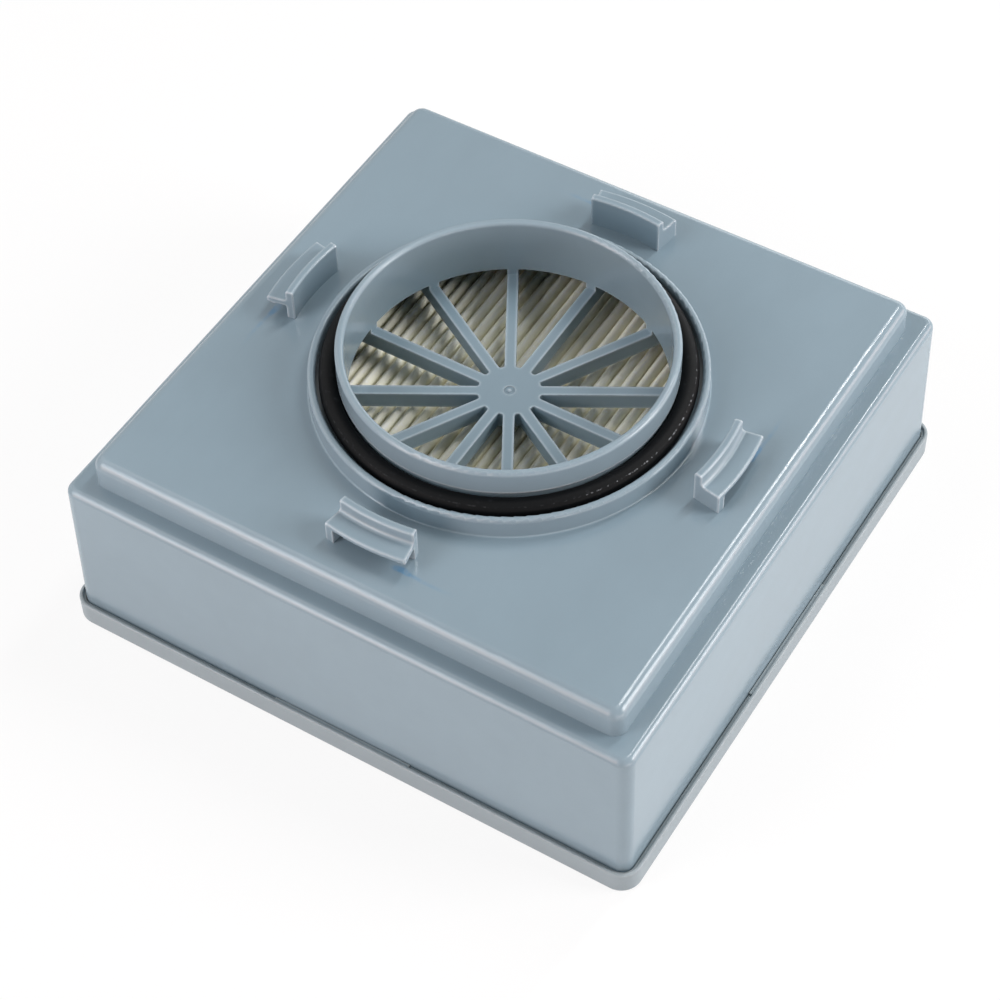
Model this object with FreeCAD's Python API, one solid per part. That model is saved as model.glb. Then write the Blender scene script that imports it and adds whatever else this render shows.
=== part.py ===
import FreeCAD, Part

import math
import os

# Square filter cassette with a round port, in millimetres.
# The underside of the base frame is z = 0, the port axis is the z axis, and the sides lie along x and y.

# Base frame
frame_width = 150.2
frame_corner = 5.0
rim_height = 6.3
rim_wall = 0.75
rim_edge_round = 0.35
floor_thickness = 2.0
floor_edge_round = 0.6
groove_floor = 5.5
window_span = 132.0
window_corner = 2.0
window_rib = 2.4
windows_per_side = 3
land_length = 36.0
land_clearance = 0.05

# Housing: drafted walls, a narrow shelf and a raised plateau
wall = 2.0
wall_draft = 1.2
housing_corner = 3.0
housing_round = 1.8
shelf_width = 145.0
shelf_height = 45.6
plateau_height = 53.1
plateau_width = 134.8
plateau_draft = 1.5
plateau_round = 2.4
inner_corner = 1.2

# Port: collar, seal seat and lip, as rises above the plateau
collar_bore_radius = 36.6
collar_radius = 38.6
collar_rise = 12.9
collar_round = 0.9
seat_radius = 38.1
seat_top_rise = 6.7
seat_floor_rise = 1.9
lip_inner_radius = 43.4
lip_outer_radius = 45.2
lip_rise = 5.3
lip_round = 0.7
lip_root_round = 0.4
lip_foot_margin = 0.05
bore_edge_round = 0.3
plate_thickness = 2.3

# Spokes and hub, under the port
spoke_count = 12
spoke_width = 2.6
spoke_drop = 3.6
spoke_depth = 4.3
spoke_reach = 44.0
hub_radius = 7.2
hub_root_round = 0.6
gate_recess_radius = 1.3
gate_recess_depth = 0.25
gate_dot_radius = 0.6

# Bayonet hooks, as rises above the plateau; spans and insets along the ring are in degrees
hook_count = 4
hook_span = 19.6
hook_inner_radius = 52.9
hook_wall = 1.9
hook_rise = 8.3
hook_shelf_radius = 59.7
hook_shelf_rise = 5.2
hook_shelf_thickness = 1.4
hook_stop_span = 2.0
hook_nub_span = 1.6
hook_nub_inset = 0.4
hook_nub_width = 1.5
hook_nub_drop = 0.8
hook_edge_round = 0.45
hook_root_round = 1.0
hook_under_round = 0.5

# Depth that a moulded feature runs into the one it stands on
weld = 0.3

# Seal ring
seal_section = 4.6
seal_inner_radius = 38.15

# Pleated pack and its cast edge
pleat_pitch = 2.75
pleat_count = 49
paper_thickness = 0.45
pack_bottom = 4.5
pack_half = 68.2
pack_top_gap = 0.3
sealant_wall_gap = 0.05

# Sizes that follow from the ones above
foot_width = shelf_width + 2 * (shelf_height - floor_thickness) * math.tan(math.radians(wall_draft))
shelf_underside = shelf_height - wall
room_foot_width = foot_width - 2 * wall
room_top_width = shelf_width - 2 * wall
plate_underside = plateau_height - plate_thickness
spoke_top = plateau_height - spoke_drop
spoke_bottom = spoke_top - spoke_depth
pack_top = shelf_underside - pack_top_gap

UP = FreeCAD.Vector(0, 0, 1)
CENTRE = FreeCAD.Vector(0, 0, 0)
tolerance = 0.01


def rounded_square(width, corner, z):
    half = width / 2
    flat = half - corner
    bulge = flat + corner * math.cos(math.radians(45))
    side = [(half, -flat), (half, flat), (bulge, bulge), (flat, half)]
    edges = []
    for quarter in range(4):
        turn = FreeCAD.Rotation(UP, 90 * quarter)
        start, end, middle, following = [turn.multVec(FreeCAD.Vector(x, y, z)) for x, y in side]
        edges.append(Part.LineSegment(start, end).toShape())
        edges.append(Part.Arc(end, middle, following).toShape())
    return Part.Wire(edges)


def square_block(low_width, low_z, high_width, high_z, corner):
    low = rounded_square(low_width, corner, low_z)
    high = rounded_square(high_width, corner, high_z)
    return Part.makeLoft([low, high], True, True)


def edges_at_height(solid, z):
    level = [edge for edge in solid.Edges if edge.BoundBox.ZLength < tolerance]
    return [edge for edge in level if abs(edge.BoundBox.ZMin - z) < tolerance]


def rounded_profile(corners):
    # A closed outline in the x-z plane; each corner is (radius from the axis, z, rounding).
    points = [FreeCAD.Vector(radius, 0, z) for radius, z, rounding in corners]
    arrive = []
    leave = []
    edges = []
    for index, (radius, z, rounding) in enumerate(corners):
        corner = points[index]
        back = (points[index - 1] - corner).normalize()
        ahead = (points[(index + 1) % len(points)] - corner).normalize()
        half_angle = back.getAngle(ahead) / 2
        reach = rounding / math.tan(half_angle)
        arrive.append(corner + back * reach)
        leave.append(corner + ahead * reach)
        if rounding:
            bisector = (back + ahead).normalize()
            middle = corner + bisector * (rounding / math.sin(half_angle) - rounding)
            edges.append((index, Part.Arc(arrive[index], middle, leave[index]).toShape()))
    for index in range(len(points)):
        following = (index + 1) % len(points)
        edges.append((index + 0.5, Part.LineSegment(leave[index], arrive[following]).toShape()))
    ordered = [edge for place, edge in sorted(edges, key=lambda item: item[0])]
    return Part.Face(Part.Wire(ordered))


def ring_sector(profile, start_angle, span):
    placed = profile.copy()
    placed.rotate(CENTRE, UP, start_angle)
    return placed.revolve(CENTRE, UP, span)


def housing_shell():
    body = square_block(foot_width, floor_thickness, shelf_width, shelf_height, housing_corner)
    body = body.makeFillet(housing_round, edges_at_height(body, shelf_height))
    step_rise = plateau_height - shelf_underside
    step_foot = plateau_width + 2 * step_rise * math.tan(math.radians(plateau_draft))
    step = square_block(step_foot, shelf_underside, plateau_width, plateau_height, housing_corner)
    step = step.makeFillet(plateau_round, edges_at_height(step, plateau_height))
    outside = body.fuse(step).removeSplitter()
    lower_room = square_block(
        room_foot_width, floor_thickness, room_top_width, shelf_underside, inner_corner
    )
    upper_room = square_block(
        step_foot - 2 * wall, shelf_underside - wall, plateau_width - 2 * wall, plate_underside, inner_corner
    )
    return outside.cut(lower_room.fuse(upper_room))


def port_ring():
    collar_top = plateau_height + collar_rise
    seat_top = plateau_height + seat_top_rise
    seat_floor = plateau_height + seat_floor_rise
    lip_top = plateau_height + lip_rise
    lip_foot = lip_outer_radius + lip_root_round + lip_foot_margin
    profile = rounded_profile([
        (collar_bore_radius, plate_underside, bore_edge_round),
        (collar_bore_radius, collar_top, collar_round),
        (collar_radius, collar_top, collar_round),
        (collar_radius, seat_top, 0),
        (seat_radius, seat_top, 0),
        (seat_radius, seat_floor, 0),
        (lip_inner_radius, seat_floor, 0),
        (lip_inner_radius, lip_top, lip_round),
        (lip_outer_radius, lip_top, lip_round),
        (lip_outer_radius, plateau_height, lip_root_round),
        (lip_foot, plateau_height, 0),
        (lip_foot, plate_underside, 0),
    ])
    return ring_sector(profile, 0, 360)


def spoke_grille():
    hub = Part.makeCylinder(hub_radius, spoke_depth, FreeCAD.Vector(0, 0, spoke_bottom))
    spoke = Part.makeBox(
        spoke_reach, spoke_width, spoke_depth, FreeCAD.Vector(0, -spoke_width / 2, spoke_bottom)
    )
    root = Part.makeBox(
        spoke_reach - collar_bore_radius,
        spoke_width,
        plate_underside + weld - spoke_top,
        FreeCAD.Vector(collar_bore_radius, -spoke_width / 2, spoke_top),
    )
    port_core = Part.makeCylinder(
        collar_bore_radius, plateau_height - spoke_top, FreeCAD.Vector(0, 0, spoke_top)
    )
    arm = spoke.fuse(root).cut(port_core)
    arms = []
    for index in range(spoke_count):
        turned = arm.copy()
        turned.rotate(CENTRE, UP, index * 360 / spoke_count)
        arms.append(turned)
    grille = hub.fuse(arms).removeSplitter()
    roots = [edge for edge in grille.Edges if is_hub_root(edge)]
    grille = grille.makeFillet(hub_root_round, roots)
    recess = Part.makeCylinder(
        gate_recess_radius, gate_recess_depth, FreeCAD.Vector(0, 0, spoke_top - gate_recess_depth)
    )
    dot = Part.makeSphere(gate_dot_radius, FreeCAD.Vector(0, 0, spoke_top - gate_recess_depth))
    return grille.cut(recess).fuse(dot)


def is_hub_root(edge):
    box = edge.BoundBox
    upright = box.ZLength > spoke_depth - tolerance and max(box.XLength, box.YLength) < tolerance
    return upright and abs(math.hypot(box.Center.x, box.Center.y) - hub_radius) < tolerance


def bayonet_hook():
    # The stop closes the clockwise end of the slot and the nub hangs at its open end.
    foot = plateau_height - weld
    outer = hook_inner_radius + hook_wall
    top = plateau_height + hook_rise
    shelf_top = plateau_height + hook_shelf_rise
    shelf_floor = shelf_top - hook_shelf_thickness
    nub_outer = hook_shelf_radius - hook_edge_round
    nub_inner = nub_outer - hook_nub_width
    upright = rounded_profile([
        (hook_inner_radius, foot, 0),
        (hook_inner_radius, top, hook_edge_round),
        (outer, top, hook_edge_round),
        (outer, shelf_top, hook_root_round),
        (hook_shelf_radius, shelf_top, hook_edge_round),
        (hook_shelf_radius, shelf_floor, hook_edge_round),
        (outer, shelf_floor, hook_under_round),
        (outer, foot, 0),
    ])
    shelf = rounded_profile([
        (outer - weld, shelf_floor, 0),
        (outer - weld, shelf_top, 0),
        (hook_shelf_radius, shelf_top, hook_edge_round),
        (hook_shelf_radius, shelf_floor, hook_edge_round),
    ])
    stop = rounded_profile([
        (outer - weld, foot, 0),
        (outer - weld, shelf_floor + weld, 0),
        (hook_shelf_radius, shelf_floor + hook_edge_round, 0),
        (hook_shelf_radius, foot, 0),
    ])
    nub = rounded_profile([
        (nub_inner, shelf_floor - hook_nub_drop, hook_edge_round),
        (nub_inner, shelf_floor + weld, 0),
        (nub_outer, shelf_floor + weld, 0),
        (nub_outer, shelf_floor - hook_nub_drop, hook_edge_round),
    ])
    start = -hook_span / 2
    pieces = [
        ring_sector(shelf, start, hook_span),
        ring_sector(stop, start, hook_stop_span),
        ring_sector(nub, -start - hook_nub_inset - hook_nub_span, hook_nub_span),
    ]
    return ring_sector(upright, start, hook_span).fuse(pieces)


def make_housing():
    port_hole = Part.makeCylinder(lip_outer_radius, plateau_height, FreeCAD.Vector(0, 0, shelf_underside))
    shell = housing_shell().cut(port_hole)
    hook = bayonet_hook()
    additions = [port_ring()]
    for index in range(hook_count):
        turned = hook.copy()
        turned.rotate(CENTRE, UP, index * 360 / hook_count)
        additions.append(turned)
    return shell.fuse(additions).removeSplitter().fuse(spoke_grille())


def make_o_ring():
    section = seal_section / 2
    height = plateau_height + seat_floor_rise + section
    return Part.makeTorus(seal_inner_radius + section, section, FreeCAD.Vector(0, 0, height), UP)


def make_base_frame():
    outer = square_block(frame_width, 0, frame_width, rim_height, frame_corner)
    outer = outer.makeFillet(floor_edge_round, edges_at_height(outer, 0))
    outer = outer.makeFillet(rim_edge_round, edges_at_height(outer, rim_height))
    inner_width = frame_width - 2 * rim_wall
    groove = square_block(inner_width, groove_floor, inner_width, rim_height, frame_corner - rim_wall)
    pocket_width = foot_width + 2 * land_clearance
    pocket = square_block(pocket_width, floor_thickness, pocket_width, groove_floor, housing_corner)
    tray = outer.cut(groove.fuse(pocket))
    land_top = rim_height - rim_edge_round
    land_face = pocket_width / 2
    land = Part.makeBox(
        inner_width / 2 + rim_wall / 2 - land_face,
        land_length,
        land_top - groove_floor + weld,
        FreeCAD.Vector(land_face, -land_length / 2, groove_floor - weld),
    )
    lands = []
    for quarter in range(4):
        turned = land.copy()
        turned.rotate(CENTRE, UP, 90 * quarter)
        lands.append(turned)
    cell = (window_span - (windows_per_side - 1) * window_rib) / windows_per_side
    middle = (windows_per_side - 1) / 2
    windows = []
    for row in range(windows_per_side):
        for column in range(windows_per_side):
            window = square_block(cell, 0, cell, floor_thickness, window_corner)
            window.translate(FreeCAD.Vector(
                (row - middle) * (cell + window_rib), (column - middle) * (cell + window_rib), 0
            ))
            windows.append(window)
    return tray.fuse(lands).cut(windows).removeSplitter()


def pleat_edge(crest_radius, valley_radius):
    # One face of the folded sheet, left to right: an arc round the outside of a fold, a crease inside it.
    crest_z = pack_top - paper_thickness
    valley_z = pack_bottom + paper_thickness
    run = pleat_pitch / 2
    spacing = math.hypot(run, crest_z - valley_z)
    lean = math.atan(run / (crest_z - valley_z)) - math.asin(paper_thickness / spacing)
    edges = []
    last = None
    for fold in range(2 * pleat_count + 1):
        is_crest = fold % 2 == 1
        up = 1 if is_crest else -1
        radius = crest_radius if is_crest else valley_radius
        centre = FreeCAD.Vector((fold - pleat_count) * run, 0, crest_z if is_crest else valley_z)
        left = centre + FreeCAD.Vector(-math.cos(lean), 0, up * math.sin(lean)) * radius
        tip = centre + FreeCAD.Vector(0, 0, up) * radius
        right = centre + FreeCAD.Vector(math.cos(lean), 0, up * math.sin(lean)) * radius
        if last:
            edges.append(Part.LineSegment(last, left).toShape())
        if radius:
            edges.append(Part.Arc(left, tip, right).toShape())
        last = right
    return edges


def make_pleated_media():
    upper = pleat_edge(paper_thickness, 0)
    lower = pleat_edge(0, paper_thickness)
    left_end = Part.LineSegment(lower[0].Vertexes[0].Point, upper[0].Vertexes[0].Point).toShape()
    right_end = Part.LineSegment(upper[-1].Vertexes[-1].Point, lower[-1].Vertexes[-1].Point).toShape()
    outline = Part.Wire(Part.__sortEdges__(upper + [right_end] + lower + [left_end]))
    sheet = Part.Face(outline).extrude(FreeCAD.Vector(0, 2 * pack_half, 0))
    sheet.translate(FreeCAD.Vector(0, -pack_half, 0))
    return sheet


def make_edge_sealant():
    height = pack_top - floor_thickness
    low_width = room_foot_width - 2 * sealant_wall_gap
    high_width = room_top_width - 2 * sealant_wall_gap
    outside = square_block(low_width, floor_thickness, high_width, pack_top, inner_corner)
    inside = Part.makeBox(
        2 * pack_half, 2 * pack_half, height, FreeCAD.Vector(-pack_half, -pack_half, floor_thickness)
    )
    return outside.cut(inside)


def main():
    os.makedirs("parts", exist_ok=True)
    nodes = {
        "housing": make_housing(),
        "o_ring": make_o_ring(),
        "pleated_media": make_pleated_media(),
        "edge_sealant": make_edge_sealant(),
        "base_frame": make_base_frame(),
    }
    for name, shape in nodes.items():
        shape.exportStep("parts/" + name + ".step")
        print(name, "valid", shape.isValid(), "solids", len(shape.Solids), "faces", len(shape.Faces),
              "volume cm3", round(shape.Volume / 1000, 2))


main()
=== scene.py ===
import bpy
import math
import random
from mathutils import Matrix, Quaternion, Vector


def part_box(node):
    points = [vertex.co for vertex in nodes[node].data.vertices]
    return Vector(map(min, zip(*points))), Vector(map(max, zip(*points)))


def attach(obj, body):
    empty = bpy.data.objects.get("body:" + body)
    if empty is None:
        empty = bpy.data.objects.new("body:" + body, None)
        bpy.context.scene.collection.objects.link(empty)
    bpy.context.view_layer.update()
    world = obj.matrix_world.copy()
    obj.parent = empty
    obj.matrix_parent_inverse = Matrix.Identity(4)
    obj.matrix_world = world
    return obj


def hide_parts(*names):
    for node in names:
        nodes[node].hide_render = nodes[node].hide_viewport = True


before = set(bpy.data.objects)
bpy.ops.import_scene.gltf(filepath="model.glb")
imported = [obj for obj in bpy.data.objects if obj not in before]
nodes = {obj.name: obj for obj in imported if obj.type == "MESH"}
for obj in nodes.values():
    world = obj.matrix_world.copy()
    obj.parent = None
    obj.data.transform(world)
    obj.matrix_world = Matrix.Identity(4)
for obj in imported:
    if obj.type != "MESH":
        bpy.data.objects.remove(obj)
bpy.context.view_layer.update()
print("frame loaded:", ", ".join(sorted(nodes)))


# node helpers

number = "NodeSocketFloat"
vector = "NodeSocketVector"
mixSockets = {"RGBA": (6, 7, 2), "VECTOR": (4, 5, 1)}    # first, second and result of a mix node
nodeGap = (240, 200)    # between columns and between rows in the node editor


def addNode(tree, kind, **settings):
    node = tree.nodes.new(kind)
    for key, value in settings.items():
        setattr(node, key, value)
    return node


def feed(tree, source, target):
    # a socket is wired in, anything else becomes the socket's own value
    if isinstance(source, bpy.types.NodeSocket):
        tree.links.new(source, target)
    else:
        target.default_value = source


def calc(tree, operation, *terms):
    node = addNode(tree, "ShaderNodeMath", operation=operation)
    for term, socket in zip(terms, node.inputs):
        feed(tree, term, socket)
    return node.outputs[0]


def product(tree, first, *others):
    for other in others:
        first = calc(tree, "MULTIPLY", first, other)
    return first


def largest(tree, first, *others):
    for other in others:
        first = calc(tree, "MAXIMUM", first, other)
    return first


def remap(tree, value, band, into=(0.0, 1.0)):
    node = addNode(tree, "ShaderNodeMapRange", interpolation_type="SMOOTHSTEP")
    for source, socket in zip((value, *band, *into), node.inputs):
        feed(tree, source, socket)
    return node.outputs[0]


def mixed(tree, factor, first, second, kind="RGBA", blend="MIX"):
    node = addNode(tree, "ShaderNodeMix", data_type=kind, blend_type=blend)
    firstSlot, secondSlot, result = mixSockets[kind]
    feed(tree, factor, node.inputs[0])
    feed(tree, first, node.inputs[firstSlot])
    feed(tree, second, node.inputs[secondSlot])
    return node.outputs[result]


def noise(tree, place, scale, detail, stretch=None, turn=0.0):
    # streaky where a stretch is given
    if stretch:
        mapping = addNode(tree, "ShaderNodeMapping")
        feed(tree, place, mapping.inputs["Vector"])
        mapping.inputs["Rotation"].default_value = (0, 0, turn)
        mapping.inputs["Scale"].default_value = stretch
        place = mapping.outputs[0]
    cloud = addNode(tree, "ShaderNodeTexNoise")
    feed(tree, place, cloud.inputs["Vector"])
    feed(tree, scale, cloud.inputs["Scale"])
    cloud.inputs["Detail"].default_value = detail
    return cloud.outputs["Fac"]


def splitPlace(tree, place):
    split = addNode(tree, "ShaderNodeSeparateXYZ")
    feed(tree, place, split.inputs[0])
    return split.outputs


def axisDistance(tree, x, y):
    squareY = calc(tree, "MULTIPLY", y, y)
    return calc(tree, "SQRT", calc(tree, "MULTIPLY_ADD", x, x, squareY))


def offBy(tree, value, target):
    return calc(tree, "ABSOLUTE", calc(tree, "SUBTRACT", value, target))


def addBump(tree, height, distance, strength=1.0, normal=None):
    bump = addNode(tree, "ShaderNodeBump")
    bump.inputs["Distance"].default_value = distance
    bump.inputs["Strength"].default_value = strength
    feed(tree, height, bump.inputs["Height"])
    if normal is not None:
        feed(tree, normal, bump.inputs["Normal"])
    return bump.outputs[0]


def mixShaders(tree, factor, first, second, output):
    blend = addNode(tree, "ShaderNodeMixShader")
    feed(tree, factor, blend.inputs[0])
    feed(tree, first.outputs[0], blend.inputs[1])
    feed(tree, second.outputs[0], blend.inputs[2])
    feed(tree, blend.outputs[0], tree.nodes[output].inputs["Surface"])


def layOut(tree):
    # columns run leftwards from the output, one for each step of wiring
    steps = {node.name: 0 for node in tree.nodes}
    wires = [(link.from_node.name, link.to_node.name) for link in tree.links]
    for sweep in range(len(steps)):
        for source, target in wires:
            steps[source] = max(steps[source], steps[target] + 1)
    filled = {}
    for node in tree.nodes:
        column = steps[node.name]
        row = filled.get(column, 0)
        node.location = (-nodeGap[0] * column, -nodeGap[1] * row)
        filled[column] = row + 1


def newGroup(name, ins, outs):
    group = bpy.data.node_groups.new(name, "ShaderNodeTree")
    for label, kind in ins.items():
        group.interface.new_socket(name=label, in_out="INPUT", socket_type=kind)
    for label, kind in outs.items():
        group.interface.new_socket(name=label, in_out="OUTPUT", socket_type=kind)
    given = addNode(group, "NodeGroupInput").outputs
    made = addNode(group, "NodeGroupOutput").inputs
    return group, given, made


def placeGroup(tree, group, **values):
    node = addNode(tree, "ShaderNodeGroup", node_tree=group)
    for label, value in values.items():
        feed(tree, value, node.inputs[label])
    return node.outputs


# mould skin: fine grain, slow tone drift and hair scratches, shared by both plastics and the bead

skinLook = {
    "grainDetail": 2.0,
    "slowDrift": {"scale": 26.0, "stretch": (1.0, 0.45, 0.7), "turn": 0.4, "detail": 4.0},
    "quickDrift": {"scale": 160.0, "stretch": (1.0, 0.6, 1.0), "turn": 1.1, "detail": 3.0},
    "slowShare": 0.7,
    "quickShare": 0.3,
    "driftMiddle": 0.5,
    "driftGain": 4.0,
    "driftRoughens": 0.25,
    "hairs": {"scale": 900.0, "stretch": (1.0, 0.02, 0.3), "turn": 0.9, "detail": 1.0},
    "hairBand": (0.685, 0.73),         # only the peaks of the noise become scratches
    "crossHairs": {"scale": 760.0, "stretch": (1.0, 0.025, 0.4), "turn": -0.5, "detail": 1.0},
    "crossHairBand": (0.69, 0.735),
    "hairDarkens": 0.05,
    "hairRoughens": 0.12,
    "hairDepth": 0.8,                  # share of the grain's own depth
}


def makeMouldSkin():
    look = skinLook
    group, given, made = newGroup(
        "mouldSkin",
        {"place": vector, "grainScale": number, "drift": number, "scratches": number, "gloss": number},
        {"tone": number, "roughness": number, "height": number})
    place = given["place"]
    grain = noise(group, place, given["grainScale"], look["grainDetail"])
    slow = noise(group, place, **look["slowDrift"])
    quick = noise(group, place, **look["quickDrift"])
    hairs = noise(group, place, **look["hairs"])
    crossHairs = noise(group, place, **look["crossHairs"])
    line = remap(group, hairs, look["hairBand"])
    crossLine = remap(group, crossHairs, look["crossHairBand"])
    lines = product(group, largest(group, line, crossLine), given["scratches"])
    quickPart = product(group, quick, look["quickShare"])
    both = calc(group, "MULTIPLY_ADD", slow, look["slowShare"], quickPart)
    drift = calc(group, "SUBTRACT", both, look["driftMiddle"])
    gain = product(group, given["drift"], look["driftGain"])
    tone = calc(group, "MULTIPLY_ADD", drift, gain, 1.0)
    tone = calc(group, "MULTIPLY_ADD", lines, -look["hairDarkens"], tone)
    rough = calc(group, "MULTIPLY_ADD", drift, look["driftRoughens"], given["gloss"])
    rough = calc(group, "MULTIPLY_ADD", lines, look["hairRoughens"], rough)
    height = calc(group, "MULTIPLY_ADD", lines, -look["hairDepth"], grain)
    feed(group, tone, made["tone"])
    feed(group, rough, made["roughness"])
    feed(group, height, made["height"])
    layOut(group)
    return group


# painted edge highlight and bevel normal: rays sent into the solid find the other face near a convex edge
# only, so hollows stay sharp

edgeHighlightLook = {
    "samples": 4,
    "edgeHighlightBand": (0.9, 0.55),    # share of free rays, from a plain face to a fully painted edge highlight
    "plainFrom": 0.93,          # with more free rays than this the face keeps its own normal
}


def makeEdgeHighlightAndBevel():
    look = edgeHighlightLook
    group, given, made = newGroup(
        "edgeHighlightAndBevel", {"radius": number, "reach": number}, {"edge": number, "normal": vector})
    bevel = addNode(group, "ShaderNodeBevel", samples=look["samples"])
    feed(group, given["radius"], bevel.inputs["Radius"])
    depth = addNode(
        group, "ShaderNodeAmbientOcclusion", inside=True, only_local=True, samples=look["samples"])
    feed(group, given["reach"], depth.inputs["Distance"])
    free = depth.outputs["AO"]
    face = addNode(group, "ShaderNodeNewGeometry")
    isPlain = calc(group, "GREATER_THAN", free, look["plainFrom"])
    normal = mixed(group, isPlain, bevel.outputs["Normal"], face.outputs["Normal"], kind="VECTOR")
    feed(group, remap(group, free, look["edgeHighlightBand"]), made["edge"])
    feed(group, normal, made["normal"])
    layOut(group)
    return group


mouldSkin = makeMouldSkin()
edgeHighlightAndBevel = makeEdgeHighlightAndBevel()
print("shared node groups built")


# materials and meshes

def newMaterial(name):
    material = bpy.data.materials.new(name)
    material.use_nodes = True
    return material, material.node_tree, material.node_tree.nodes["Principled BSDF"]


def objectPlace(tree):
    return addNode(tree, "ShaderNodeTexCoord").outputs["Object"]


def placeSkin(tree, place, values):
    chosen = {label: values[label] for label in ("grainScale", "drift", "scratches", "gloss")}
    return placeGroup(tree, mouldSkin, place=place, **chosen)


def dress(piece, material):
    layOut(material.node_tree)
    piece.data.materials.clear()
    piece.data.materials.append(material)


def makePiece(name, points, faces):
    mesh = bpy.data.meshes.new(name)
    mesh.from_pydata(points, [], faces)
    mesh.polygons.foreach_set("use_smooth", [True] * len(faces))
    piece = bpy.data.objects.new(name, mesh)
    bpy.context.scene.collection.objects.link(piece)
    return piece


def gridFaces(rows, columns, closed=False):
    # a closed grid also joins its last row and column to the first
    faces = []
    for row in range(rows if closed else rows - 1):
        for column in range(columns if closed else columns - 1):
            here = row * columns
            there = (row + 1) % rows * columns
            beside = (column + 1) % columns
            faces.append((here + column, here + beside, there + beside, there + column))
    return faces


def finishPlastic(name, piece, values, addMark=None):
    # satin moulding, with a painted highlight that pales its edges
    material, tree, shader = newMaterial(name)
    place = objectPlace(tree)
    skin = placeSkin(tree, place, values)
    sheen = placeGroup(tree, edgeHighlightAndBevel, radius=values["edgeRadius"], reach=values["edgeReach"])
    toned = mixed(tree, 1.0, values["base"], skin["tone"], blend="MULTIPLY")
    # painted highlight: the edges are mixed towards a pale colour
    paintedSheen = product(tree, sheen["edge"], values["edgeShare"])
    shown = mixed(tree, paintedSheen, toned, values["edgeLight"])
    if addMark:
        shown = addMark(tree, place, shown, values)
    normal = addBump(tree, skin["height"], values["grainDepth"], normal=sheen["normal"])
    feed(tree, shown, shader.inputs["Base Color"])
    feed(tree, skin["roughness"], shader.inputs["Roughness"])
    feed(tree, normal, shader.inputs["Normal"])
    shader.inputs["Specular IOR Level"].default_value = values["shine"]
    dress(piece, material)


# housing: satin blue-grey moulding

housingFinish = {
    "base": (0.208, 0.285, 0.335, 1.0),
    # colour of the painted highlight along the edges
    "edgeLight": (0.48, 0.56, 0.62, 1.0),
    "edgeShare": 0.9,
    "edgeReach": 0.0007,
    "edgeRadius": 0.0005,
    "grainScale": 3400.0,
    "grainDepth": 0.000012,
    "drift": 0.05,
    "scratches": 0.12,
    "gloss": 0.2,
    "shine": 0.5,
    "top": 0.0531,                     # height of the face that carries the hooks
    "topBand": (0.0004, 0.0002),
    "hookFold": 45,                    # half the turn from one hook to the next, in degrees
    # one colour for the painted shadow spot and the flow tail
    "flowAndShadeColour": (0.10, 0.24, 0.40, 1.0),
    "markTurn": 8.5,                   # degrees from the middle of a hook to the spot at its open end
    "markRing": 0.0584,
    "flowLean": 0.0003,                # how far the tail drifts outwards per degree
    "shadeSpot": (3.2, 0.0011),         # half length in degrees, half width
    "shadeSpotBand": (1.0, 0.1),
    "shadeAndFlowShares": (0.8, 0.4),          # strength of the painted shadow spot and of the flow tail
    "flowThread": (0.7, 0.1),          # width of the tail, in half widths of the spot
    "flowStart": (-0.5, 1.5),
    "flowTail": 22.0,
    "flowFade": 2.0,
    "markPatches": {"scale": 420.0, "detail": 3.0},
    "markPatchBand": (0.3, 0.6),
    "markPatchShare": (0.25, 1.0),
}


def addFlowMarkAndShade(tree, place, under, values):
    # a painted shadow spot lies below the open end of every hook and a bluish flow mark trails from it,
    # so the angle is folded four times
    x, y, z = splitPlace(tree, place)
    fold = math.radians(values["hookFold"])
    folded = calc(tree, "WRAP", calc(tree, "ARCTAN2", y, x), fold, -fold)
    degrees = calc(tree, "DEGREES", folded)
    along = calc(tree, "SUBTRACT", degrees, values["markTurn"])
    pastSpot = calc(tree, "MAXIMUM", along, 0.0)
    track = calc(tree, "MULTIPLY_ADD", pastSpot, values["flowLean"], values["markRing"])
    aside = calc(tree, "SUBTRACT", axisDistance(tree, x, y), track)
    halfLength, halfWidth = values["shadeSpot"]
    spotShare, tailShare = values["shadeAndFlowShares"]
    lengthwise = calc(tree, "POWER", calc(tree, "DIVIDE", along, halfLength), 2.0)
    crosswise = calc(tree, "POWER", calc(tree, "DIVIDE", aside, halfWidth), 2.0)
    reach = calc(tree, "ADD", lengthwise, crosswise)
    # painted shadow: a dark blue spot on the top face below the hook's open end
    spot = remap(tree, reach, values["shadeSpotBand"], (0.0, spotShare))
    threadBand = [halfWidth * share for share in values["flowThread"]]
    thread = remap(tree, calc(tree, "ABSOLUTE", aside), threadBand, (0.0, tailShare))
    started = remap(tree, along, values["flowStart"])
    fading = remap(tree, degrees, (values["flowTail"], values["markTurn"] + values["flowFade"]))
    tail = product(tree, thread, started, fading)
    onTop = remap(tree, offBy(tree, z, values["top"]), values["topBand"])
    patches = noise(tree, place, **values["markPatches"])
    patchy = remap(tree, patches, values["markPatchBand"], values["markPatchShare"])
    mark = product(tree, largest(tree, spot, tail), onTop, patchy)
    return mixed(tree, mark, under, values["flowAndShadeColour"])


finishPlastic("housingPlastic", nodes["housing"], housingFinish, addFlowMarkAndShade)
print("housing finished")


# base frame: the same plastic family, a little greyer and drier

frameFinish = {
    "base": (0.245, 0.3, 0.33, 1.0),
    # colour of the painted highlight along the edges
    "edgeLight": (0.46, 0.49, 0.48, 1.0),
    "edgeShare": 0.6,
    "edgeReach": 0.0005,
    "edgeRadius": 0.0004,
    "grainScale": 2600.0,
    "grainDepth": 0.00002,
    "drift": 0.05,
    "scratches": 0.15,
    "gloss": 0.44,
    "shine": 0.5,
}

finishPlastic("framePlastic", nodes["base_frame"], frameFinish)
print("base frame finished")


# pleated pack: folded filter paper with uneven folds

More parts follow.
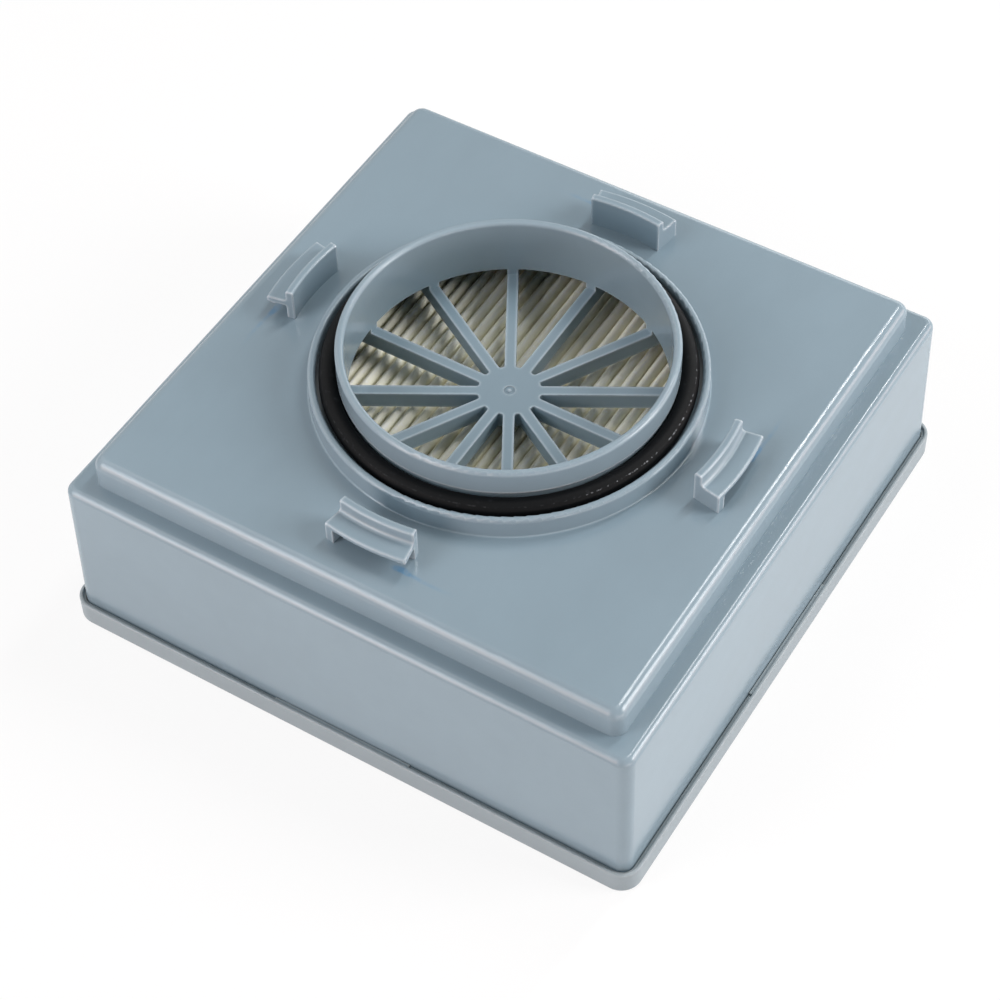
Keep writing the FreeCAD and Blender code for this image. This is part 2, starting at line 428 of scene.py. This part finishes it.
paperPack = {
    "pitch": 0.00275,
    "crests": 49,
    "paper": 0.00042,
    "margin": 0.00012,         # kept free inside the solid's own box
    "stations": 44,            # rows of points along each fold
    "foldPoints": (9, 5),      # points round a crest and round a valley
    "crestRadius": (0.00099, 0.00107),
    "crestRise": 1.1,          # height of a crest over its half width
    "crestBlunt": 0.45,        # 0 is a sharp roof, large values a round one
    "valleyRadius": (0.00018, 0.00026),
    "valleyTurn": 84,          # degrees that a valley turns to each side
    "wallShares": (0.18, 0.5, 0.82),
    "wallBend": 0.6,           # how much of the belly the outer wall points share
    "shift": 0.00012,          # how far a whole fold sits off its place
    "dip": 0.00055,            # how far a crest may lie below the highest one
    "packDrift": {"amount": 0.0004, "count": 3, "shortest": 0.05, "longest": 0.16},
    "stray": {"amount": 0.00012, "count": 3, "shortest": 0.018, "longest": 0.09},
    "rise": {"amount": 0.00018, "count": 3, "shortest": 0.02, "longest": 0.07},
    "belly": {"amount": 0.00012, "count": 2, "shortest": 0.03, "longest": 0.08},
    "waveSizes": (0.6, 1.4),
    "seed": 41,
    "base": (0.95, 0.93, 0.76, 1.0),
    "shade": (0.88, 0.84, 0.62, 1.0),
    # painted highlight colour of the fold tips
    "crest": (0.98, 0.98, 0.95, 1.0),
    "fibres": (
        {"scale": 1500.0, "stretch": (1.0, 0.12, 1.0), "turn": 0.5, "detail": 3.0},
        {"scale": 1500.0, "stretch": (1.0, 0.1, 1.0), "turn": -0.8, "detail": 3.0},
        {"scale": 1050.0, "stretch": (0.15, 1.0, 1.0), "turn": 0.1, "detail": 3.0},
    ),
    "fibreBand": (0.5, 0.75),
    "fibreDepth": 0.00005,
    "fibreStrength": 0.8,
    "cloud": {"scale": 120.0, "stretch": (1.0, 0.5, 1.0), "turn": 0.2, "detail": 4.0},
    "cloudBand": (0.35, 0.7),
    "cloudShare": (0.0, 0.55),
    "tipHighlightBand": (0.0016, 0.0004),    # depth below the outermost fold where a painted highlight pales the paper
    "tipHighlightShares": (0.65, 0.35),      # fuzzy and even part of that
    "roughness": 0.9,
    "shine": 0.25,
    "glowThrough": 0.2,
}


def waves(dice, amount, count, shortest, longest):
    # a smooth seeded curve along a fold
    parts = []
    for index in range(count):
        length = dice.uniform(shortest, longest)
        size = amount / count * dice.uniform(*paperPack["waveSizes"])
        phase = dice.uniform(0, 2 * math.pi)
        parts.append((size, 2 * math.pi / length, phase))
    return lambda y: sum(size * math.sin(rate * y + phase) for size, rate, phase in parts)


def rollFolds(dice, values):
    # every fold's own place, depth, radius and waves, a valley first and last
    folds = []
    for index in range(2 * values["crests"] + 1):
        isCrest = index % 2 == 1
        radii = values["crestRadius" if isCrest else "valleyRadius"]
        place = (index - values["crests"]) * values["pitch"] / 2
        folds.append({
            "isCrest": isCrest,
            "x": place + dice.uniform(-1, 1) * values["shift"],
            "dip": dice.random() ** 2 * values["dip"],
            "radius": dice.uniform(*radii),
            "stray": waves(dice, **values["stray"]),
            "rise": waves(dice, **values["rise"]),
            "belly": waves(dice, **values["belly"]),
        })
    return folds


def turnPoints(fold, x, y, z, rise, values):
    # a crest is a blunted roof, a valley an arc
    steps = values["foldPoints"][0 if fold["isCrest"] else 1] - 1
    blunt = values["crestBlunt"]
    ridge = math.hypot(1, blunt) - blunt
    line = []
    for step in range(steps + 1):
        side = 2 * step / steps - 1
        if fold["isCrest"]:
            fall = (math.hypot(side, blunt) - blunt) / ridge
            line.append((x + fold["radius"] * side, y, z + rise * (1 - fall)))
        else:
            turn = math.radians(values["valleyTurn"] * side)
            line.append((x + fold["radius"] * math.sin(turn), y, z - rise * math.cos(turn)))
    return line


def wallPoints(start, end, y, z, otherZ, belly, values):
    # the wall between two folds bellies a little to one side
    middle = (start + end) / 2 + belly
    bend = values["wallBend"]
    leaving = middle * bend + start * (1 - bend)
    meeting = middle * bend + end * (1 - bend)
    line = []
    for share, x in zip(values["wallShares"], (leaving, middle, meeting)):
        line.append((x, y, z + (otherZ - z) * share))
    return line


def makePleats():
    values = paperPack
    dice = random.Random(values["seed"])
    low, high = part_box("pleated_media")
    drift = waves(dice, **values["packDrift"])
    folds = rollFolds(dice, values)
    margin = values["paper"] / 2 + values["margin"]
    limit = high.x - margin
    length = high.y - low.y - 2 * margin
    rows = []
    for station in range(values["stations"] + 1):
        y = low.y + margin + length * station / values["stations"]
        places = [fold["x"] + drift(y) + fold["stray"](y) for fold in folds]
        line = []
        for index, fold in enumerate(folds):
            x = places[index]
            reach = max(0.0, fold["dip"] + fold["rise"](y))
            if fold["isCrest"]:
                rise = fold["radius"] * values["crestRise"]
                z = high.z - margin - reach - rise
            else:
                rise = fold["radius"]
                z = low.z + margin + reach + rise
            line += turnPoints(fold, x, y, z, rise, values)
            if index + 1 < len(folds):
                start = x + fold["radius"]
                end = places[index + 1] - folds[index + 1]["radius"]
                line += wallPoints(start, end, y, z, low.z + high.z - z, fold["belly"](y), values)
        rows.append([(max(-limit, min(limit, x)), y, z) for x, y, z in line])
    points = [point for row in rows for point in row]
    pleats = makePiece("paperPleats", points, gridFaces(len(rows), len(rows[0])))
    thick = pleats.modifiers.new("paper", "SOLIDIFY")
    thick.thickness = values["paper"]
    thick.offset = 0.0
    return pleats


def finishPaper(pleats):
    values = paperPack
    low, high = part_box("pleated_media")
    material, tree, shader = newMaterial("filterPaper")
    place = objectPlace(tree)
    fibres = largest(tree, *[noise(tree, place, **fibre) for fibre in values["fibres"]])
    cloud = noise(tree, place, **values["cloud"])
    z = splitPlace(tree, place)[2]
    # painted highlight: the fold tips are painted pale, in streaks along the fibres
    topTipHighlight = remap(tree, z, [high.z - depth for depth in values["tipHighlightBand"]])
    lowTipHighlight = remap(tree, z, [low.z + depth for depth in values["tipHighlightBand"]])
    fold = largest(tree, topTipHighlight, lowTipHighlight)
    fuzzy = remap(tree, fibres, values["fibreBand"])
    clouded = remap(tree, cloud, values["cloudBand"], values["cloudShare"])
    ground = mixed(tree, clouded, values["base"], values["shade"])
    paintedGlint = calc(tree, "MULTIPLY_ADD", fuzzy, *values["tipHighlightShares"])
    shown = mixed(tree, product(tree, fold, paintedGlint), ground, values["crest"])
    normal = addBump(tree, fibres, values["fibreDepth"], values["fibreStrength"])
    feed(tree, shown, shader.inputs["Base Color"])
    feed(tree, normal, shader.inputs["Normal"])
    shader.inputs["Roughness"].default_value = values["roughness"]
    shader.inputs["Specular IOR Level"].default_value = values["shine"]
    through = addNode(tree, "ShaderNodeBsdfTranslucent")
    feed(tree, shown, through.inputs["Color"])
    mixShaders(tree, values["glowThrough"], shader, through, "Material Output")
    dress(pleats, material)


pleats = makePleats()
finishPaper(pleats)
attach(pleats, "root")
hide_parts("pleated_media")
print("pleats folded:", len(pleats.data.polygons), "faces")


# seal ring: black rubber with the moulding's flash line

sealRing = {
    "around": 288,
    "section": 72,
    "flash": 0.03,             # share of the section's radius that the flash line stands proud
    "flashTurn": 0.85,         # where it runs, in radians up from the outermost line
    "flashWidth": 0.065,
    "waver": 0.004,
    "waverCount": 4,
    "waverRates": (2, 9),
    "seed": 7,
    "base": (0.0025, 0.003, 0.0035, 1.0),
    "bloom": (0.014, 0.015, 0.017, 1.0),
    "dust": {"scale": 700.0, "detail": 6.0},
    "dustBand": (0.6, 0.72),
    "patches": {"scale": 90.0, "detail": 3.0},
    "patchBand": (0.4, 0.65),
    "patchShare": (0.15, 1.0),
    # colour of the painted highlight on the flash line
    "flashHighlight": (0.26, 0.28, 0.30, 1.0),
    "flashBand": (1.4, 0.4),   # in widths of the flash line
    "glintDashes": {"scale": 900.0, "stretch": (1.0, 1.0, 0.3), "detail": 4.0},
    "glintDashBand": (0.5, 0.66),
    "glintTurn": -0.05,         # direction of the stretch with the most painted highlight, in radians
    "glintStretch": (0.3, 0.75),    # its half width and where it ends
    "glintShares": (1.0, 0.06),
    "grain": {"scale": 2200.0, "detail": 3.0},
    "grainDepth": 0.00003,
    "grainStrength": 0.7,
    "roughness": 0.42,
    "grainRoughens": 0.2,
    "dustRoughens": 0.2,
    "shine": 0.09,
}


def sealSize():
    # radius of the ring along its middle, radius of its section and height of its middle
    low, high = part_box("o_ring")
    section = (high.z - low.z) / 2
    return {"ring": high.x - section, "section": section, "height": (high.z + low.z) / 2}


def makeSealRing():
    values = sealRing
    dice = random.Random(values["seed"])
    seal = sealSize()
    waver = []
    for index in range(values["waverCount"]):
        rate = dice.randint(*values["waverRates"])
        waver.append((rate, dice.uniform(0, 2 * math.pi)))
    around = values["around"]
    section = values["section"]
    points = []
    for step in range(section):
        rise = 2 * math.pi * step / section
        offFlash = (rise - values["flashTurn"]) / values["flashWidth"]
        ridge = values["flash"] * math.exp(-offFlash ** 2)
        for index in range(around):
            turn = 2 * math.pi * index / around
            swell = sum(math.sin(rate * turn + phase) for rate, phase in waver) / values["waverCount"]
            soft = swell * values["waver"]
            size = seal["section"] * (1 - values["flash"] - values["waver"] + ridge + soft)
            reach = seal["ring"] + size * math.cos(rise)
            z = seal["height"] + size * math.sin(rise)
            points.append((reach * math.cos(turn), reach * math.sin(turn), z))
    return makePiece("sealRing", points, gridFaces(section, around, closed=True))


def findFlashGlint(tree, place, values):
    # painted highlight: the flash line is painted pale in broken dashes, mostly on one stretch of the
    # ring
    seal = sealSize()
    x, y, z = splitPlace(tree, place)
    outward = calc(tree, "SUBTRACT", axisDistance(tree, x, y), seal["ring"])
    upward = calc(tree, "SUBTRACT", z, seal["height"])
    rise = calc(tree, "ARCTAN2", upward, outward)
    lineBand = [values["flashWidth"] * share for share in values["flashBand"]]
    line = remap(tree, offBy(tree, rise, values["flashTurn"]), lineBand)
    dashes = remap(tree, noise(tree, place, **values["glintDashes"]), values["glintDashBand"])
    aside = offBy(tree, calc(tree, "ARCTAN2", y, x), values["glintTurn"])
    stretch = remap(tree, aside, values["glintStretch"], values["glintShares"])
    return product(tree, line, dashes, stretch)


def finishSeal(ring):
    values = sealRing
    material, tree, shader = newMaterial("sealRubber")
    place = objectPlace(tree)
    grain = noise(tree, place, **values["grain"])
    dust = remap(tree, noise(tree, place, **values["dust"]), values["dustBand"])
    patches = noise(tree, place, **values["patches"])
    patchy = remap(tree, patches, values["patchBand"], values["patchShare"])
    specks = product(tree, dust, patchy)
    dark = mixed(tree, specks, values["base"], values["bloom"])
    shown = mixed(tree, findFlashGlint(tree, place, values), dark, values["flashHighlight"])
    rough = calc(tree, "MULTIPLY_ADD", grain, values["grainRoughens"], values["roughness"])
    rough = calc(tree, "MULTIPLY_ADD", specks, values["dustRoughens"], rough)
    normal = addBump(tree, grain, values["grainDepth"], values["grainStrength"])
    feed(tree, shown, shader.inputs["Base Color"])
    feed(tree, rough, shader.inputs["Roughness"])
    feed(tree, normal, shader.inputs["Normal"])
    shader.inputs["Specular IOR Level"].default_value = values["shine"]
    dress(ring, material)


ring = makeSealRing()
finishSeal(ring)
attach(ring, "root")
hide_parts("o_ring")
print("seal ring made")


# edge bead: cast sealant around the pack

beadFinish = {
    "base": (0.70, 0.67, 0.58, 1.0),
    "grainScale": 900.0,
    "grainDepth": 0.00006,
    "drift": 0.08,
    "scratches": 0.0,
    "gloss": 0.42,
    "bubbleScale": 420.0,
    "bubbleBand": (0.12, 0.3),
    "bubbleDepth": 0.0002,
    "bubbleStrength": 0.5,
}


def finishBead():
    values = beadFinish
    material, tree, shader = newMaterial("castSealant")
    place = objectPlace(tree)
    skin = placeSkin(tree, place, values)
    toned = mixed(tree, 1.0, values["base"], skin["tone"], blend="MULTIPLY")
    bubbles = addNode(tree, "ShaderNodeTexVoronoi")
    feed(tree, place, bubbles.inputs["Vector"])
    bubbles.inputs["Scale"].default_value = values["bubbleScale"]
    pits = remap(tree, bubbles.outputs["Distance"], values["bubbleBand"])
    grainy = addBump(tree, skin["height"], values["grainDepth"])
    pitted = addBump(tree, pits, values["bubbleDepth"], values["bubbleStrength"], grainy)
    feed(tree, toned, shader.inputs["Base Color"])
    feed(tree, skin["roughness"], shader.inputs["Roughness"])
    feed(tree, pitted, shader.inputs["Normal"])
    dress(nodes["edge_sealant"], material)


finishBead()
print("edge bead finished")


# stage: pale floor, soft lights, white surround

stageLook = {
    "floorSize": 4.0,
    "floorDrop": 0.0001,
    "floor": (0.86, 0.86, 0.86, 1.0),
    "floorRoughness": 0.8,
    "floorGlow": 0.86,
    "ambient": (0.95, 0.98, 1.0, 1.0),
    "ambientStrength": 0.01,
    "surround": (1.0, 1.0, 1.0, 1.0),
    "lampsAim": (0.0, 0.0, 0.03),
}

# turn and rise in degrees as seen from the part, all one metre from it
lamps = {
    "keyRight": {"turn": 24, "rise": 32, "size": (0.42, 0.42), "power": 6.3, "colour": (1.0, 1.0, 1.0)},
    "keyLeft": {"turn": 236, "rise": 36, "size": (0.5, 0.55), "power": 4.4, "colour": (0.97, 1.0, 1.05)},
    "panelRight": {"turn": 33, "rise": 12, "size": (0.8, 0.4), "power": 3.0, "colour": (1.28, 1.0, 0.94)},
    "panelLeft": {"turn": 250, "rise": 14, "size": (0.6, 0.6), "power": 3.6, "colour": (1.3, 1.0, 0.9)},
    "panelBack": {"turn": 90, "rise": 14, "size": (0.8, 0.4), "power": 2.2, "colour": (1.0, 1.0, 1.0)},
    "sill": {"turn": 335, "rise": 5, "size": (0.9, 0.12), "power": 2.4, "colour": (1.15, 1.0, 0.96)},
    "cardLeft": {"turn": 180, "rise": 50, "size": (0.7, 0.7), "power": 1.8, "colour": (1.05, 1.0, 0.98)},
    "overhead": {"turn": 0, "rise": 90, "size": (1.0, 1.0), "power": 0.9, "colour": (1.05, 1.0, 0.97)},
    "edgeStrip": {"turn": 77, "rise": 57, "size": (0.045, 0.45), "power": 3.0, "colour": (1.0, 1.0, 1.0)},
}


def makeFloor():
    values = stageLook
    half = values["floorSize"] / 2
    corners = [(-half, -half, 0), (half, -half, 0), (half, half, 0), (-half, half, 0)]
    floor = makePiece("floor", corners, [(0, 1, 2, 3)])
    floor.location.z = -values["floorDrop"]
    material, tree, shader = newMaterial("paleFloor")
    shader.inputs["Base Color"].default_value = values["floor"]
    shader.inputs["Roughness"].default_value = values["floorRoughness"]
    glow = addNode(tree, "ShaderNodeEmission")
    glow.inputs["Strength"].default_value = 1.0
    rays = addNode(tree, "ShaderNodeLightPath").outputs
    seen = largest(tree, rays["Is Camera Ray"], rays["Is Glossy Ray"], rays["Is Transmission Ray"])
    mixShaders(tree, product(tree, seen, values["floorGlow"]), shader, glow, "Material Output")
    dress(floor, material)
    material.cycles.emission_sampling = "NONE"     # its glow shows, and lights nothing


def makeSurround():
    values = stageLook
    world = bpy.data.worlds.new("surround")
    bpy.context.scene.world = world
    world.use_nodes = True
    tree = world.node_tree
    plain = tree.nodes["Background"]
    plain.inputs["Color"].default_value = values["ambient"]
    plain.inputs["Strength"].default_value = values["ambientStrength"]
    white = addNode(tree, "ShaderNodeBackground")
    white.inputs["Color"].default_value = values["surround"]
    white.inputs["Strength"].default_value = 1.0
    rays = addNode(tree, "ShaderNodeLightPath").outputs
    seen = largest(tree, rays["Is Camera Ray"], rays["Is Glossy Ray"])
    mixShaders(tree, seen, plain, white, "World Output")
    layOut(tree)
    world.cycles.sampling_method = "NONE"          # even light needs no map of bright spots


def makeLamps():
    aim = Vector(stageLook["lampsAim"])
    for name, values in lamps.items():
        data = bpy.data.lights.new(name, "AREA")
        data.shape = "RECTANGLE"
        data.size, data.size_y = values["size"]
        data.energy = values["power"]
        data.color = values["colour"]
        lamp = bpy.data.objects.new(name, data)
        turn = math.radians(values["turn"])
        rise = math.radians(values["rise"])
        flat = math.cos(rise)
        way = Vector((math.cos(turn) * flat, math.sin(turn) * flat, math.sin(rise)))
        lamp.location = aim + way
        lamp.rotation_euler = (-way).to_track_quat("-Z", "Y").to_euler()
        lamp.visible_camera = False
        bpy.context.scene.collection.objects.link(lamp)


makeFloor()
makeSurround()
makeLamps()
print("stage lit")


# camera: placed from the photograph's own perspective

viewPoint = {
    "at": (0.21153, -0.333758, 0.495462),
    "aim": (0.006251, -0.01504, 0.03),
    "roll": -1.7314,           # degrees
    "lens": 94.73,
    "sensor": 36.0,
    "clip": (0.01, 50.0),
}


def makeCamera():
    values = viewPoint
    data = bpy.data.cameras.new("camera")
    data.lens = values["lens"]
    data.sensor_width = values["sensor"]
    data.clip_start, data.clip_end = values["clip"]
    camera = bpy.data.objects.new("camera", data)
    camera.location = values["at"]
    way = Vector(values["aim"]) - camera.location
    roll = Quaternion((0, 0, 1), math.radians(values["roll"]))
    camera.rotation_euler = (way.to_track_quat("-Z", "Y") @ roll).to_euler()
    bpy.context.scene.collection.objects.link(camera)
    bpy.context.scene.camera = camera


makeCamera()
bpy.context.scene.view_settings.view_transform = "Standard"
print("camera set")
